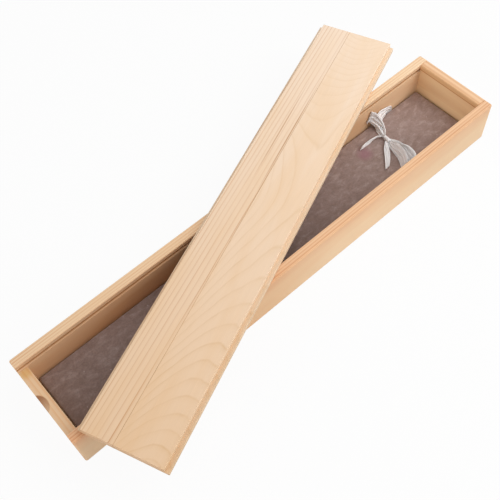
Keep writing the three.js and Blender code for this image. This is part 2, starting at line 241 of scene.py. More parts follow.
# Pine is a solid with its year rings right through it, so each board has a place in the trunk. Lengths are
# in mm in the board's own frame: x along the grain, y across to the left and z up, from its middle. The
# pith is the line that the rings go round. It bows up or down away from its crown, and may lean sideways.
# Sanded bare pine: pale soft spring wood, a darker late line that ends sharply in each ring, no gloss.
def pineMaterial(name, middle, look):
    material, tree = newMaterial(name)
    place = addNode(tree, "TexCoord").outputs
    moved = addNode(tree, "VectorMath", {0: place["Object"], 1: tuple(middle)}, operation="SUBTRACT")
    turnBack = {"Angle": -look["turn"]}
    turned = addNode(tree, "VectorRotate", {"Vector": moved, **turnBack}, rotation_type="Z_AXIS")
    inMm = addNode(tree, "VectorMath", {0: turned, "Scale": 1 / mm}, operation="SCALE")
    x, y, z = addNode(tree, "SeparateXYZ", {0: inMm}).outputs

    # The pith's distance. Its bow changes from the near one to the far one within 1 mm of the crown
    fromCrown = addNode(tree, "Math", {0: x, 1: look["crown"]}, operation="SUBTRACT")
    squared = addNode(tree, "Math", {0: fromCrown, 1: fromCrown}, operation="MULTIPLY")
    bow = addNode(tree, "MapRange", {0: fromCrown, **fromTo((-1, 1), (look["bow"], look["farBow"]))})
    pithUp = addNode(tree, "Math", {0: squared, 1: bow, 2: look["pithUp"]}, operation="MULTIPLY_ADD")
    leaned = addNode(
        tree, "Math", {0: x, 1: look["lean"], 2: look["pithAcross"]}, operation="MULTIPLY_ADD"
    )
    veer = addNode(
        tree,
        "MapRange",
        {0: x, **fromTo(look["veerRange"], (0, look["veer"]))},
        interpolation_type="SMOOTHSTEP",
    )
    pithAcross = addNode(tree, "Math", {0: leaned, 1: veer}, operation="ADD")
    dy = addNode(tree, "Math", {0: y, 1: pithAcross}, operation="SUBTRACT")
    dz = addNode(tree, "Math", {0: z, 1: pithUp}, operation="SUBTRACT")
    flat = addNode(tree, "CombineXYZ", {0: dy, 1: dz})
    distance = addNode(tree, "VectorMath", {0: flat}, operation="LENGTH").outputs["Value"]

    # Growth wasn't even, so the rings waver along the trunk
    waver = patches(tree, inMm, look["waverSize"])
    pushed = addNode(tree, "Math", {0: waver, 1: look["waver"], 2: distance}, operation="MULTIPLY_ADD")
    rings = addNode(tree, "Math", {0: pushed, 1: look["ringWidth"]}, operation="DIVIDE")
    phase = addNode(tree, "Math", {0: rings}, operation="FRACT")
    lateWood = setStops(addNode(tree, "ValToRGB", {0: phase}), look["ring"])

    # Each year's late wood has its own strength, and it fades in and out along the board
    year = addNode(tree, "Math", {0: rings}, operation="FLOOR")
    strength = addNode(tree, "TexWhiteNoise", {"W": year}, noise_dimensions="1D").outputs["Value"]
    yearShare = addNode(tree, "MapRange", {0: strength, **fromTo((0, 1), (look["faintYear"], 1))})
    fading = patches(tree, inMm, look["fadeSize"], detail=1)
    fadeShare = addNode(tree, "MapRange", {0: fading, **fromTo(look["fadeRange"], (look["fade"], 1))})
    ringShare = addNode(tree, "Math", {0: yearShare, 1: fadeShare}, operation="MULTIPLY")
    ends = (-look["length"] / 2, look["length"] / 2)
    farShare = addNode(tree, "MapRange", {0: x, **fromTo(ends, (1, look["farRings"]))})
    boardShare = addNode(tree, "Math", {0: ringShare, 1: farShare}, operation="MULTIPLY")
    late = addNode(tree, "Math", {0: lateWood, 1: boardShare}, operation="MULTIPLY")

    # Fibres, and wide bands that are a little warmer
    fibre = patches(tree, inMm, look["fibreSize"], detail=3, roughness=0.6)
    cloud = patches(tree, inMm, look["cloudSize"])
    cloudShare = addNode(tree, "MapRange", {0: cloud, **fromTo(look["cloudRange"], (0, look["cloud"]))})
    wood = addNode(tree, "MixRGB", {0: late, 1: linear(look["early"]), 2: linear(look["late"])})
    warmer = addNode(tree, "MixRGB", {0: cloudShare, 1: wood, 2: linear(look["warm"])})
    tones = (1 - look["fibre"], 1 + look["fibre"])
    fibreTone = addNode(tree, "MapRange", {0: fibre, **fromTo(look["fibreRange"], tones)})
    colour = addNode(tree, "VectorMath", {0: warmer, 1: fibreTone}, operation="MULTIPLY")

    # Cut ends drink the light. The tints on a board's rim and near part are painted shade, on the lid's
    # near part partly the wood's own warmer tone too, and a board's lower part may differ in colour
    normal = {"Vector": place["Normal"], **turnBack}
    facing = addNode(tree, "VectorRotate", normal, rotation_type="Z_AXIS")
    facingAxes = addNode(tree, "SeparateXYZ", {0: facing}).outputs
    endways = addNode(tree, "Math", {0: facingAxes[0]}, operation="ABSOLUTE")
    upwards = addNode(tree, "Math", {0: facingAxes[2]}, operation="ABSOLUTE")
    shares = {
        "endTint": {0: endways, **fromTo(look["facingRange"])},
        "rimTint": {0: upwards, **fromTo(look["facingRange"])},
        "nearTint": {0: x, **fromTo(ends, (1, 0))},
        "lowTint": {0: z, **fromTo(look["lowRange"], (1, 0))},
    }
    for tint, share in shares.items():
        if look[tint]:
            shareHere = addNode(tree, "MapRange", share)
            tinting = {0: shareHere, 1: colour, 2: linear(look[tint])}
            colour = addNode(tree, "MixRGB", tinting, blend_type="MULTIPLY")

    # Streaks of resin, lines of glue, painted shade in hollows and under the lid: oval or flat zones in
    # its frame
    for spot in look["zones"]:
        offset = addNode(tree, "VectorMath", {0: inMm, 1: spot["place"]}, operation="SUBTRACT")
        scaled = addNode(tree, "VectorMath", {0: offset, 1: spot["reach"]}, operation="DIVIDE")
        outward = addNode(tree, "VectorMath", {0: scaled}, operation="LENGTH").outputs["Value"]
        edge = (1 - spot["soft"], 1 + spot["soft"])
        inside = addNode(tree, "MapRange", {0: outward, **fromTo(edge, (spot["share"], 0))})
        tinting = {0: inside, 1: colour, 2: linear(spot["tint"])}
        colour = addNode(tree, "MixRGB", tinting, blend_type="MULTIPLY")

    raised = {0: fibre, 1: look["fibreRelief"], 2: late}
    relief = addNode(tree, "Math", raised, operation="MULTIPLY_ADD")
    dull = addNode(tree, "MapRange", {0: late, **fromTo((0, 1), look["roughness"])})
    return finishSurface(material, look, colour, relief, dull)


# A ring's late wood by its share of the ring: pale, darker, and a sharp end
softRing = [(0, "#000000"), (0.4, "#181818"), (0.82, "#ffffff"), (0.93, "#e0e0e0"), (1, "#000000")]
# The same where the late wood is narrower, and where it is a thin line
finerRing = [(0, "#000000"), (0.5, "#181818"), (0.8, "#a0a0a0"), (0.9, "#ffffff"), (1, "#000000")]
thinRing = [(0, "#000000"), (0.55, "#202020"), (0.8, "#9a9a9a"), (0.9, "#ffffff"), (1, "#000000")]


# What all boards share, with a board's own values over it. Sizes are in mm along, across and up the board
def board(**own):
    common = {
        "length": 320,
        "turn": 0,
        "pithUp": 0,  # where the pith runs, up and to the left of the board's middle
        "pithAcross": 0,
        "lean": 0,  # how far the pith goes to the left for each mm along the board
        "veer": 0,  # how far it moves to the left between these places as well
        "veerRange": (0, 1),
        "crown": 0,  # where along the board the pith's bow turns
        "bow": 0,  # how far the pith rises, times the square of the distance to the crown
        "farBow": 0,  # the same beyond the crown
        "ring": softRing,
        "ringWidth": 2,
        "waver": 1.5,
        "waverSize": (70, 16, 16),
        "faintYear": 0.5,  # the least strength of a year's late wood
        "fade": 0.5,  # its strength where it fades most
        "fadeSize": (45, 5, 5),
        "fadeRange": (0.3, 0.65),
        "farRings": 1,  # the rings' strength at the far end
        "early": "#f2d6b3",
        "late": "#dcb083",
        "warm": "#efcb9f",
        "cloud": 0.4,
        "cloudSize": (60, 9, 9),
        "cloudRange": (0.4, 0.7),
        "fibre": 0.03,
        "fibreSize": (15, 0.3, 0.3),  # coarser than real fibres, which are too fine to show
        "fibreRange": (0.3, 0.7),
        "fibreRelief": 0.5,
        "relief": 0.04,
        "bump": 0.6,
        "roughness": (0.62, 0.5),  # of early and late wood
        "ior": 1.45,
        "endTint": "#efe6dc",
        # painted shade on a board's rim and near part, where a board gives it
        "rimTint": None,
        "nearTint": None,
        "lowTint": None,
        "facingRange": (0.3, 0.9),  # how far a face turns endways or upwards before it takes on a tint
        "lowRange": (0.3, 1.2),
        "zones": [],
    }
    return {**common, **own}


# A zone of another tint: its middle and its reach each way, in mm, and how soft its edge is
def zone(place, reach, tint, share=1, soft=0.5):
    return {"place": place, "reach": reach, "tint": tint, "share": share, "soft": soft}


def middleOf(*names):
    boxes = [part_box(n) for n in names]
    low = Vector([min(b[0][k] for b in boxes) for k in range(3)])
    high = Vector([max(b[1][k] for b in boxes) for k in range(3)])
    return (low + high) / 2


lidBoards = ("lid_narrow_board", "lid_wide_board")


# How far the lid is turned: at that angle, of all hundredths of a degree up to 60, it is narrowest
def lidAngle():
    boards = [nodes[n].data for n in lidBoards]
    places = np.array([v.co[:2] for mesh in boards for v in mesh.vertices])
    turns = np.radians(np.arange(0, 60, 0.01))
    widths = [np.ptp(places @ (-math.sin(turn), math.cos(turn))) for turn in turns]
    return float(turns[np.argmin(widths)])


# The sides are sawn far from the pith, so that the rings lie level with their faces: fine orange lines
# along the rims, and smooth broad faces. The left one's inner face lies well into a ring, a little darker.
sidePine = {
    "ringWidth": 1.7,
    "waver": 1,
    "early": "#f3d2ab",
    "late": "#d98f5b",
    "warm": "#f0c598",
    "ring": [(0, "#000000"), (0.3, "#181818"), (0.72, "#b0b0b0"), (0.9, "#ffffff"), (1, "#101010")],
}
# Painted shade on the left one's inner face, redder and darker under the lid, and in its groove under the
# lip
leftBoard = board(
    **{**sidePine, "early": "#f5d8b3"},
    pithAcross=396.9,
    # painted shade, darker towards the near end
    nearTint="#f4eee8",
    zones=[
        zone((-75, -3, -5), (65, 3, 14), "#eaceb6", share=0.92),
        zone((88, -3, -5), (24, 3, 14), "#ecdccb", share=0.6),
        zone((0, -1.2, 9), (1000, 0.75, 0.5), "#cbaa7c", share=0.9, soft=0.6),
    ],
)
# Painted shade on the right one's rim, its orange near corner (also the wood's own colour) and outer face:
# redder towards the top, darker under the lid's near part; and a greyer stretch by the far end
rightBoard = board(
    **{**sidePine, "late": "#cf8250"},
    pithAcross=399.7,
    pithUp=-12.5,
    rimTint="#f9f4f2",
    zones=[
        zone((-155, 0, 14), (9, 4, 4), "#f0cdb0", share=0.3),
        zone((40, -2, 15), (600, 5, 8), "#f9e2cf", share=0.5, soft=0.9),
        zone((-65, -3, -5), (55, 3, 25), "#f4e8dc", soft=0.6),
        zone((150, -3, -5), (65, 3, 25), "#f5f4f3", soft=0.6),
    ],
)
# The ends' grain runs across the box. A darker line of glue shows where they meet the sides.
endPine = {
    "turn": math.pi / 2,
    "pithAcross": 64,
    "pithUp": 6,
    "ringWidth": 2.6,
    "late": "#dba573",
    "length": 48,
}
jointLines = [
    zone((side * endPine["length"] / 2, 0, 0), (0.3, 1000, 1000), "#d8bfa2", share=0.35, soft=0.3)
    for side in (-1, 1)
]
# The far end has a darker line 4 mm under its rim, with a slightly browner band over it
farBoard = board(
    **{**endPine, "late": "#e3b281"},
    # paler and more golden early wood than the other boards, partly painted light on its inner face
    early="#ffdcac",
    # painted shade on the rim
    rimTint="#efe6ea",
    zones=[
        *jointLines,
        zone((0, 0, 11), (1000, 1000, 0.3), "#cf9f70", share=0.8),
        zone((0, 3, 13.6), (1000, 2, 2.6), "#e9d6c2", share=0.7, soft=0.1),
    ],
)
# Painted shade makes the near end's nail notch browner, and its left corner is yellow with resin
nearBoard = board(
    **endPine,
    # darker early wood than the other boards, as painted shade
    early="#e2bd96",
    zones=[
        *jointLines,
        zone((1, 7, 17.6), (9.2, 9.2, 9.2), "#b3947a", soft=0.03),
        zone((21, 0, 12), (3, 3, 3), "#efe0a8", share=0.7),
    ],
)

lidMiddle = middleOf(*lidBoards)
lidPine = {
    "turn": lidAngle(),
    "early": "#f8e0c8",
    "warm": "#f3d3ae",
    "ring": thinRing,
    # painted shade, darker towards the lid's near end, partly the wood's own warmer tone there
    "nearTint": "#efe2d0",
    "lowTint": "#f5f6f4",
    "length": 307,
}
# Straight grain, 2.5 mm apart at the left and wider to the right, that drifts to the right along the
# board, with two dark streaks in its far half
lidNarrow = board(
    **lidPine,
    pithAcross=-15,
    pithUp=-47,
    lean=-0.016,
    ringWidth=1.43,
    waver=0.6,
    late="#cf9f75",
    zones=[
        zone((57, 5.6, 3), (34, 0.35, 3), "#c3a280", share=0.8),
        zone((59, 12, 3), (32, 0.35, 3), "#cbad8c", share=0.7),
    ],
)
# Arched grain: the pith runs deep under the board's right edge, turns in under its middle in the far
# half, and rises to both ends
lidWide = board(
    **{**lidPine, "ring": finerRing},
    pithAcross=-27,
    lean=-0.07,
    veer=33,
    veerRange=(-5, 105),
    pithUp=-52,
    crown=40,
    bow=0.0006,
    farBow=0.002,
    ringWidth=1.8,
    waver=2,
    late="#e7c8a3",
    cloud=0.5,
    farRings=0.5,
)

boardPlan = {
    "left_side": ("left side", leftBoard),
    "right_side": ("right side", rightBoard),
    "far_end": ("far end", farBoard),
    "near_end": ("near end", nearBoard),
    "lid_narrow_board": ("narrow lid board", lidNarrow),
    "lid_wide_board": ("wide lid board", lidWide),
}
for node, (name, look) in boardPlan.items():
    middle = lidMiddle if node in lidBoards else middleOf(node)
    giveMaterial(nodes[node], pineMaterial("sanded pine, " + name, middle, look))

# The lid's two boards are glued edge to edge. The dried wood glue shows between them as a thin amber
# line, a little glossy, and darker in patches where it is thicker. Lengths are in mm
glueLook = {
    "colour": "#d2ad82",
    "below": 0.1,  # under the lid's faces
    "endGap": 0.3,
    "patchSize": (30, 30, 30),
    "patchRange": (0.35, 0.65),
    "patchTone": (0.75, 1.1),
    "roughness": 0.5,
    "ior": 1.47,
}


def makeGlueLine(look):
    material, tree = newMaterial("wood glue, dried")
    patchy = patches(tree, placeInMm(tree), look["patchSize"], detail=3)
    tone = addNode(tree, "MapRange", {0: patchy, **fromTo(look["patchRange"], look["patchTone"])})
    colour = addNode(tree, "VectorMath", {0: linear(look["colour"])[:3], 1: tone}, operation="MULTIPLY")
    finishSurface(material, look, colour)

    turn = Matrix.Rotation(-lidPine["turn"], 4, "Z")
    spans = []
    for node in lidBoards:
        flat = [turn @ (v.co - lidMiddle) for v in nodes[node].data.vertices]
        spans.append([(min(p[k] for p in flat), max(p[k] for p in flat)) for k in range(3)])
    narrow, wide = spans
    below = look["below"] * mm
    endGap = look["endGap"] * mm
    xs, zs = narrow[0], narrow[2]
    low = (xs[0] + endGap, wide[1][1], zs[0] + below)
    high = (xs[1] - endGap, narrow[1][0], zs[1] - below)
    corners = [
        lidMiddle + turn.inverted() @ Vector((x, y, z))
        for x in (low[0], high[0])
        for y in (low[1], high[1])
        for z in (low[2], high[2])
    ]
    faces = [(0, 1, 3, 2), (4, 6, 7, 5), (0, 4, 5, 1), (2, 3, 7, 6), (0, 2, 6, 4), (1, 5, 7, 3)]
    film = meshObject("lid_glue_line", corners, faces)
    film.data.shade_flat()
    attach(film, "lid")
    giveMaterial(film, material)


makeGlueLine(glueLook)
print("pine made")

# Birch plywood under the box: rotary-cut face veneer, which gives a wide wandering figure. Sizes are in mm
plywoodLook = {
    "tones": [(0.32, "#c79f70"), (0.62, "#e3c39a")],
    "figureSize": (90, 14, 2),
    "fibreSize": (12, 0.35, 0.35),  # coarser than real fibres, which are too fine to show
    "fibreShare": 0.35,
    "relief": 0.04,
    "bump": 0.6,
    "roughness": 0.62,
    "ior": 1.45,
}


def plywoodMaterial(look):
    material, tree = newMaterial("birch plywood")
    inMm = placeInMm(tree)
    figure = patches(tree, inMm, look["figureSize"], detail=4, distortion=1.2)
    fibre = patches(tree, inMm, look["fibreSize"])
    blend = addNode(tree, "MixRGB", {0: look["fibreShare"], 1: figure, 2: fibre})
    tone = setStops(addNode(tree, "ValToRGB", {0: blend}), look["tones"])
    return finishSurface(material, look, tone, fibre)


# Grey board: pressed waste paper, dull and rough, with pale and dark bits of fibre. Sizes are in mm
greyBoardLook = {
    "tones": [(0.3, "#8d8270"), (0.5, "#a99d88"), (0.7, "#bfb39d")],
    "bitSize": (0.6, 0.6, 0.6),
    "relief": 0.08,
    "bump": 0.7,
    "roughness": 0.9,
    "ior": 1.5,
}


def greyBoardMaterial(look):
    material, tree = newMaterial("grey board, pressed")
    bits = patches(tree, placeInMm(tree), look["bitSize"], detail=3)
    tone = setStops(addNode(tree, "ValToRGB", {0: bits}), look["tones"])
    return finishSurface(material, look, tone, bits)


giveMaterial(nodes["bottom_panel"], plywoodMaterial(plywoodLook))
giveMaterial(nodes["pad_board"], greyBoardMaterial(greyBoardLook))
print("panel and pad board made")

# The lining pad: velvet drawn over wadding and down round a stiff board. Lengths are in mm
padLook = {
    "cornerRadius": 1.6,
    "edgeRound": 1.3,
    "edgeSteps": (0, 0.15, 0.5, 1, 2, 3.5),  # the mesh's lines, from an edge inwards
    "gridStep": 2.5,
    "sideRows": (0.35, 0.7, 1),  # shares of the way down the sides
    "cloth": 0.6,
    "heldEdge": 0.6,  # the width of the edge that the solver holds
    "pressure": 4,
    "solverScale": 10,
    "solverFrames": 20,
    "crown": 0.45,  # the most that the velvet swells
    "unevenness": 0.14,
    "evenEdge": 6,  # from here inwards it is as uneven as it gets
    "wrinkle": 22,
}


# Places across the pad, close together by both edges
def spreadOver(low, high, look):
    edge = np.array(look["edgeSteps"])
    count = int((high - low - 2 * edge[-1]) / look["gridStep"]) + 2
    middle = np.linspace(low + edge[-1], high - edge[-1], count)
    return np.concatenate([low + edge[:-1], middle, high - edge[-2::-1]])


# A pad between two corners in mm: a top with a rolled edge, sides, and an underside if closed
def padMesh(low, high, look, closed):
    across = spreadOver(low[1], high[1], look)
    along = spreadOver(low[0], high[0], look)
    x, y = np.meshgrid(along, across, indexing="ij")
    fromEnd = np.minimum(x - low[0], high[0] - x)
    fromSide = np.minimum(y - low[1], high[1] - y)
    radius = look["cornerRadius"]
    u = np.maximum(radius - fromEnd, 0)
    v = np.maximum(radius - fromSide, 0)
    outward = np.maximum(u, v)
    pulled = outward / np.maximum(np.hypot(u, v), 1e-9)
    inCorner = (u > 0) & (v > 0)
    x = x + np.where(inCorner, (pulled - 1) * u, 0) * np.sign(x)
    y = y + np.where(inCorner, (pulled - 1) * v, 0) * np.sign(y)
    inset = np.where(inCorner, radius - outward, np.minimum(fromEnd, fromSide))
    roll = np.maximum(look["edgeRound"] - inset, 0)
    drop = look["edgeRound"] - np.sqrt(look["edgeRound"] ** 2 - roll**2)
    top = np.stack([x, y, high[2] - drop], 2)
    rows, columns = x.shape
    points = list(top.reshape(-1, 3))
    number = np.arange(rows * columns).reshape(rows, columns)
    faces = [
        (number[i, j], number[i + 1, j], number[i + 1, j + 1], number[i, j + 1])
        for i in range(rows - 1)
        for j in range(columns - 1)
    ]
    topFaces = list(faces)
    rim = [*number[:-1, 0], *number[-1, :-1], *number[:0:-1, -1], *number[0, :0:-1]]
    edge = rim
    for share in look["sideRows"]:
        z = (high[2] - look["edgeRound"]) * (1 - share) + low[2] * share
        lower = list(range(len(points), len(points) + len(rim)))
        points += [(points[k][0], points[k][1], z) for k in rim]
        for k in range(len(rim)):
            after = (k + 1) % len(rim)
            faces.append((edge[k], lower[k], lower[after], edge[after]))
        edge = lower
    if closed:
        under = dict(zip(rim, edge))
        for k in number[1:-1, 1:-1].flat:
            under[k] = len(points)
            points.append((points[k][0], points[k][1], low[2]))
        faces += [tuple(under[k] for k in reversed(face)) for face in topFaces]
    return np.array(points) * mm, [tuple(int(k) for k in face) for face in faces], inset.ravel()


# Air pressure under the cloth with its edge and sides held, at a larger scale, where the solver works well
def swell(points, faces, isHeld, look):
    scale = look["solverScale"]
    cloth = meshObject("velvet trial", points * scale, faces)
    held = cloth.vertex_groups.new(name="held")
    held.add([int(k) for k in np.flatnonzero(isHeld)], 1, "REPLACE")
    solver = cloth.modifiers.new("cloth", "CLOTH")
    solver.settings.vertex_group_mass = held.name
    solver.settings.use_pressure = True
    solver.settings.uniform_pressure_force = look["pressure"]
    solver.settings.effector_weights.gravity = 0
    for frameNumber in range(1, look["solverFrames"] + 1):
        scene.frame_set(frameNumber)
    shown = cloth.evaluated_get(bpy.context.evaluated_depsgraph_get())
    moved = np.array([v.co for v in shown.data.vertices]) / scale
    scene.frame_set(1)
    bpy.data.objects.remove(cloth)
    return moved


def makeVelvet(look):
    low, high = (np.array(corner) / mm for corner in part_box("velvet_cover"))
    points, faces, inset = padMesh(low, high, look, closed=False)
    fromEdge = np.append(inset, np.zeros(len(points) - len(inset)))
    moved = swell(points, faces, fromEdge < look["heldEdge"], look)
    rise = np.maximum(moved[:, 2] - points[:, 2], 0)
    crown = look["crown"] * mm
    points[:, 2] += crown * np.tanh(rise / crown)
    print("velvet swelled by up to %.2f mm before its limit" % (rise.max() / mm))
    for k in range(len(inset)):
        away = min(inset[k] / look["evenEdge"], 1)
        lump = noise.noise(Vector(points[k]) / (look["wrinkle"] * mm))
        points[k, 2] += look["unevenness"] * mm * away * (lump + 0.5)  # mostly upwards
    velvet = meshObject("velvet_pad", points, faces)
    finer = velvet.modifiers.new("finer", "SUBSURF")
    finer.levels = finer.render_levels = 1
    body = velvet.modifiers.new("cloth thickness", "SOLIDIFY")
    body.thickness = look["cloth"] * mm
    body.offset = -1
    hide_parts("velvet_cover")
    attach(velvet, "box")
    return velvet


# Taupe velvet, woven with a short cut pile: dull from above, soft light at a grazing angle, and paler
# smears and flecks where the pile has been brushed the other way. Lengths are in mm
velvetLook = {
    "tones": [(0.32, "#8d7870"), (0.52, "#96817a"), (0.7, "#a5928b")],  # dark, plain and brushed
    "smearSize": (3.5, 3.5, 3.5),
    "smearStretch": (0.6, 1, 1),
    "fleckSize": (0.9, 0.9, 0.9),
    "fleckRange": (0.3, 0.7),
    "fleckTone": (0.9, 1.1),
    "pileSize": (0.35, 0.35, 0.35),  # coarser than real pile, which is too fine to show
    "relief": 0.1,
    "bump": 0.6,
    "paintedLightRange": (-150, 150),
    "paintedLightTone": (0.88, 1.14),  # painted shade towards the near end and painted light towards the far end
    "pink": "#9a6d78",  # where the pile has caught some dye
    "pinkPlace": (88.7, 9, 7.4),
    "pinkRange": (2, 6.5),
    "pinkShare": 0.7,
    "lint": 3,  # the size of a cell that may hold a speck of lint
    "lintColour": "#cfc4bd",
    "lintChosen": (0.8, 0.82),
    "lintEdge": (0.06, 0.16),
    "lintShare": 0.5,
    "roughness": 0.95,
    "ior": 1.4,
    "sheen": 0.6,
    "sheenRoughness": 0.45,
    "sheenTint": "#d8c8c0",
}


def velvetMaterial(look):
    material, tree = newMaterial("velvet, woven cotton pile")
    inMm = placeInMm(tree)
    stretched = addNode(tree, "VectorMath", {0: inMm, 1: look["smearStretch"]}, operation="MULTIPLY")
    smear = patches(tree, stretched, look["smearSize"], detail=3, roughness=0.55, distortion=0.6)
    fleck = patches(tree, inMm, look["fleckSize"])
    pile = patches(tree, inMm, look["pileSize"], detail=1)
    smearTone = setStops(addNode(tree, "ValToRGB", {0: smear}), look["tones"])
    fleckTone = addNode(tree, "MapRange", {0: fleck, **fromTo(look["fleckRange"], look["fleckTone"])})
    # Painted shade darkens the near end and painted light brightens the far end
    x = addNode(tree, "SeparateXYZ", {0: inMm}).outputs[0]
    paintedLight = addNode(tree, "MapRange", {0: x, **fromTo(look["paintedLightRange"], look["paintedLightTone"])})
    bothTones = addNode(tree, "Math", {0: fleckTone, 1: paintedLight}, operation="MULTIPLY")
    toned = addNode(tree, "VectorMath", {0: smearTone, 1: bothTones}, operation="MULTIPLY")
    fromPink = addNode(
        tree, "VectorMath", {0: inMm, 1: look["pinkPlace"]}, operation="DISTANCE"
    ).outputs["Value"]
    pinkShare = addNode(
        tree, "MapRange", {0: fromPink, **fromTo(look["pinkRange"], (look["pinkShare"], 0))}
    )
    dyed = addNode(tree, "MixRGB", {0: pinkShare, 1: toned, 2: linear(look["pink"])})
    # Specks of pale lint: few of the cells are chosen, and each of those has one
    specks = addNode(tree, "TexVoronoi", {"Vector": inMm, "Scale": 1 / look["lint"]}).outputs
    isChosen = addNode(
        tree, "MapRange", {0: specks["Color"], **fromTo(look["lintChosen"], (0, look["lintShare"]))}
    )
    isSpeck = addNode(tree, "MapRange", {0: specks["Distance"], **fromTo(look["lintEdge"], (1, 0))})
    lintShare = addNode(tree, "Math", {0: isChosen, 1: isSpeck}, operation="MULTIPLY")
    colour = addNode(tree, "MixRGB", {0: lintShare, 1: dyed, 2: linear(look["lintColour"])})
    relief = addNode(tree, "Math", {0: smear, 1: pile}, operation="ADD")
    return finishSurface(material, look, colour, relief)


# Cotton wadding, carded: loose white fibre, all softness and no gloss. Lengths are in mm
waddingLook = {
    **padLook,
    "edgeRound": 0.9,
    "clearance": 0.1,
    "tuft": 4,
    "fineTuft": 1.5,
    "fineShare": 0.5,
    "sideDepth": 0.08,
    "topDepth": 0.1,
    "tones": [(0.3, "#ddd8ce"), (0.7, "#f2efe9")],
    "cloudSize": (2.5, 2.5, 2.5),
    "relief": 0.3,
    "bump": 0.8,
    "roughness": 1,
    "ior": 1.4,
    "sheen": 0.2,
    "sheenRoughness": 0.5,
    "sheenTint": "#ffffff",
}


def makeWadding(look):
    low, high = (np.array(corner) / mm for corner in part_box("pad_wadding"))
    gap = look["clearance"]
    points, faces, inset = padMesh(low + gap, high - gap, look, closed=True)
    for k, point in enumerate(points):
        coarse = noise.noise(Vector(point) / (look["tuft"] * mm))
        fine = noise.noise(Vector(point) / (look["fineTuft"] * mm))
        depth = abs(coarse + look["fineShare"] * fine) * mm
        points[k] -= np.sign(point) * (1, 1, 0) * depth * look["sideDepth"]
        if k < len(inset):
            points[k, 2] -= depth * look["topDepth"]
    wadding = meshObject("wadding_mat", points, faces)
    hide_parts("pad_wadding")
    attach(wadding, "box")
    return wadding


def waddingMaterial(look):
    material, tree = newMaterial("cotton wadding, carded")
    tuft = patches(tree, placeInMm(tree), look["cloudSize"], detail=4, distortion=1)
    tone = setStops(addNode(tree, "ValToRGB", {0: tuft}), look["tones"])
    return finishSurface(material, look, tone, tuft)


velvet = makeVelvet(padLook)
giveMaterial(velvet, velvetMaterial(velvetLook))
wadding = makeWadding(waddingLook)
giveMaterial(wadding, waddingMaterial(waddingLook))
print("lining pad made")

# The bow: two ribbons, each fixed beside the pad, and tied over it. Lengths are in mm
bowLook = {
    "knotFromFarEnd": 47.4,
    "knotFromLeftSide": 17.5,
    "width": 10,
    "thickness": 0.22,
    "wallClearance": 0.3,
    "padClearance": 0.25,
    "step": 0.7,  # the mesh's step along a strand, and its columns across it
    "columns": 32,
    "pleats": 3,
    "pleatDepth": 0.6,  # below 1 the pleats are flattened
    "unevenPleats": 0.22,
    "pleatDrift": 0.16,  # the pleats' turn for each mm along the ribbon, in radians
    "pleatWander": 0.8,
    "wanderLength": 3.1,
    "strandPhase": 1.1,
    "knotReach": 1.2,  # from the knot's middle to its turns, along the box and upwards
    "knotHeight": 1.45,
    "knotMiddle": 2.1,  # over the pad
    "inKnot": 0.14,  # the share of its width that a strand keeps in the knot
    "shortOfKnot": (0.05, 0.25),  # a strand that ends at such a share of the way is run on into it
    "pressFrom": 1,  # pleats are pressed in the knot, and free from 6 mm on
    "pressReach": 5,
    "pressedDepth": 0.3,
    "freeHeight": 2,
    "besidePad": 0.15,  # the depth of the pleats where the ribbon goes down beside the pad
    "tailSlant": 0.3,  # how slanting a tail's end is cut, as a share of the width
}

# The right ribbon's turns round the knot: a screw of short pieces that grows a little with each
knotLook = {
    "pieces": 17,
    "firstAngle": -70,  # degrees
    "angle": 28,
    "growth": 0.012,
    "start": 0.5,
    "advance": 0.06,
    "lean": 0.12,
    "kept": 0.42,
    "step": 0.35,
    "phase": 2,
    "tight": 0.5,
}

# A station is how far it lies along the box from the knot, its share of the way from the knot to the wall,
# its height over the pad, the way that the ribbon's width runs there, and the share of its full width that
# it keeps where it is gathered
leftStrands = {
    "fixed end": [
        [20.8, 0.977, -2.8, 1, 0, 0, 0.5],
        [20.4, 0.977, 0.8, 1, 0, 0, 0.5],
        [18.2, 0.945, 3.4, 0.6, 0, 0.75, 0.6],
        [14.5, 0.92, 3.8, -0.2, 0.1, 0.9, 0.74],
        [10.4, 0.89, 3.9, -0.35, 0.2, 0.87, 0.84],
        [7.4, 0.78, 3.7, -0.2, 0.33, 0.88, 0.74],
        [3.7, 0.5, 2.5, 0.1, 0, 1, 0.3],
        [0.9, 0.2, 2.1, 0.4, -0.2, 0.9, 0.16],
    ],
    "loop out": [
        [1.1, 0.19, 2.6, 0.2, -0.6, 0.75, 0.14],
        [3.5, 0.31, 3.3, 0.16, -0.73, 0.67, 0.15],
        [4.1, 0.43, 4.1, 0.5, -0.3, 0.8, 0.24],
        [3.5, 0.57, 5.4, 0.55, -0.25, 0.8, 0.56],
        [2.7, 0.745, 7, 0.5, -0.22, 0.84, 0.74],
        [1.7, 0.89, 8.9, 0.32, -0.15, 0.94, 0.9],
        [-0.4, 0.945, 9.7, 0, 0, 1, 0.95],
    ],
    "loop back": [
        [-0.4, 0.945, 9.7, 0, 0, 1, 0.95],
        [1, 0.965, 8.6, 0.05, 0, 1, 0.8],
        [2.9, 0.88, 5.2, 0.1, 0.05, 1, 0.56],
        [2.6, 0.7, 3.1, 0.15, 0, 1, 0.46],
        [1.2, 0.49, 2.1, 0.5, -0.1, 0.85, 0.42],
        [0.6, 0.3, 1.8, 0.5, -0.35, 0.8, 0.27],
        [0.6, 0.19, 1.9, 0.4, -0.35, 0.85, 0.2],
    ],
    "tail": [
        [0, 0.2, 1.8, -0.1, 0.05, 1, 0.15],
        [-2.4, 0.33, 2, -0.15, 0, 1, 0.16],
        [-6.3, 0.37, 2.2, -0.24, 0.05, 0.97, 0.2],
        [-10.6, 0.37, 2.2, -0.1, 0.2, 0.96, 0.22],
        [-14.9, 0.365, 2, -0.24, 0.2, 0.94, 0.2],
        [-18.6, 0.37, 1.7, -0.4, 0.1, 0.91, 0.15],
    ],
}

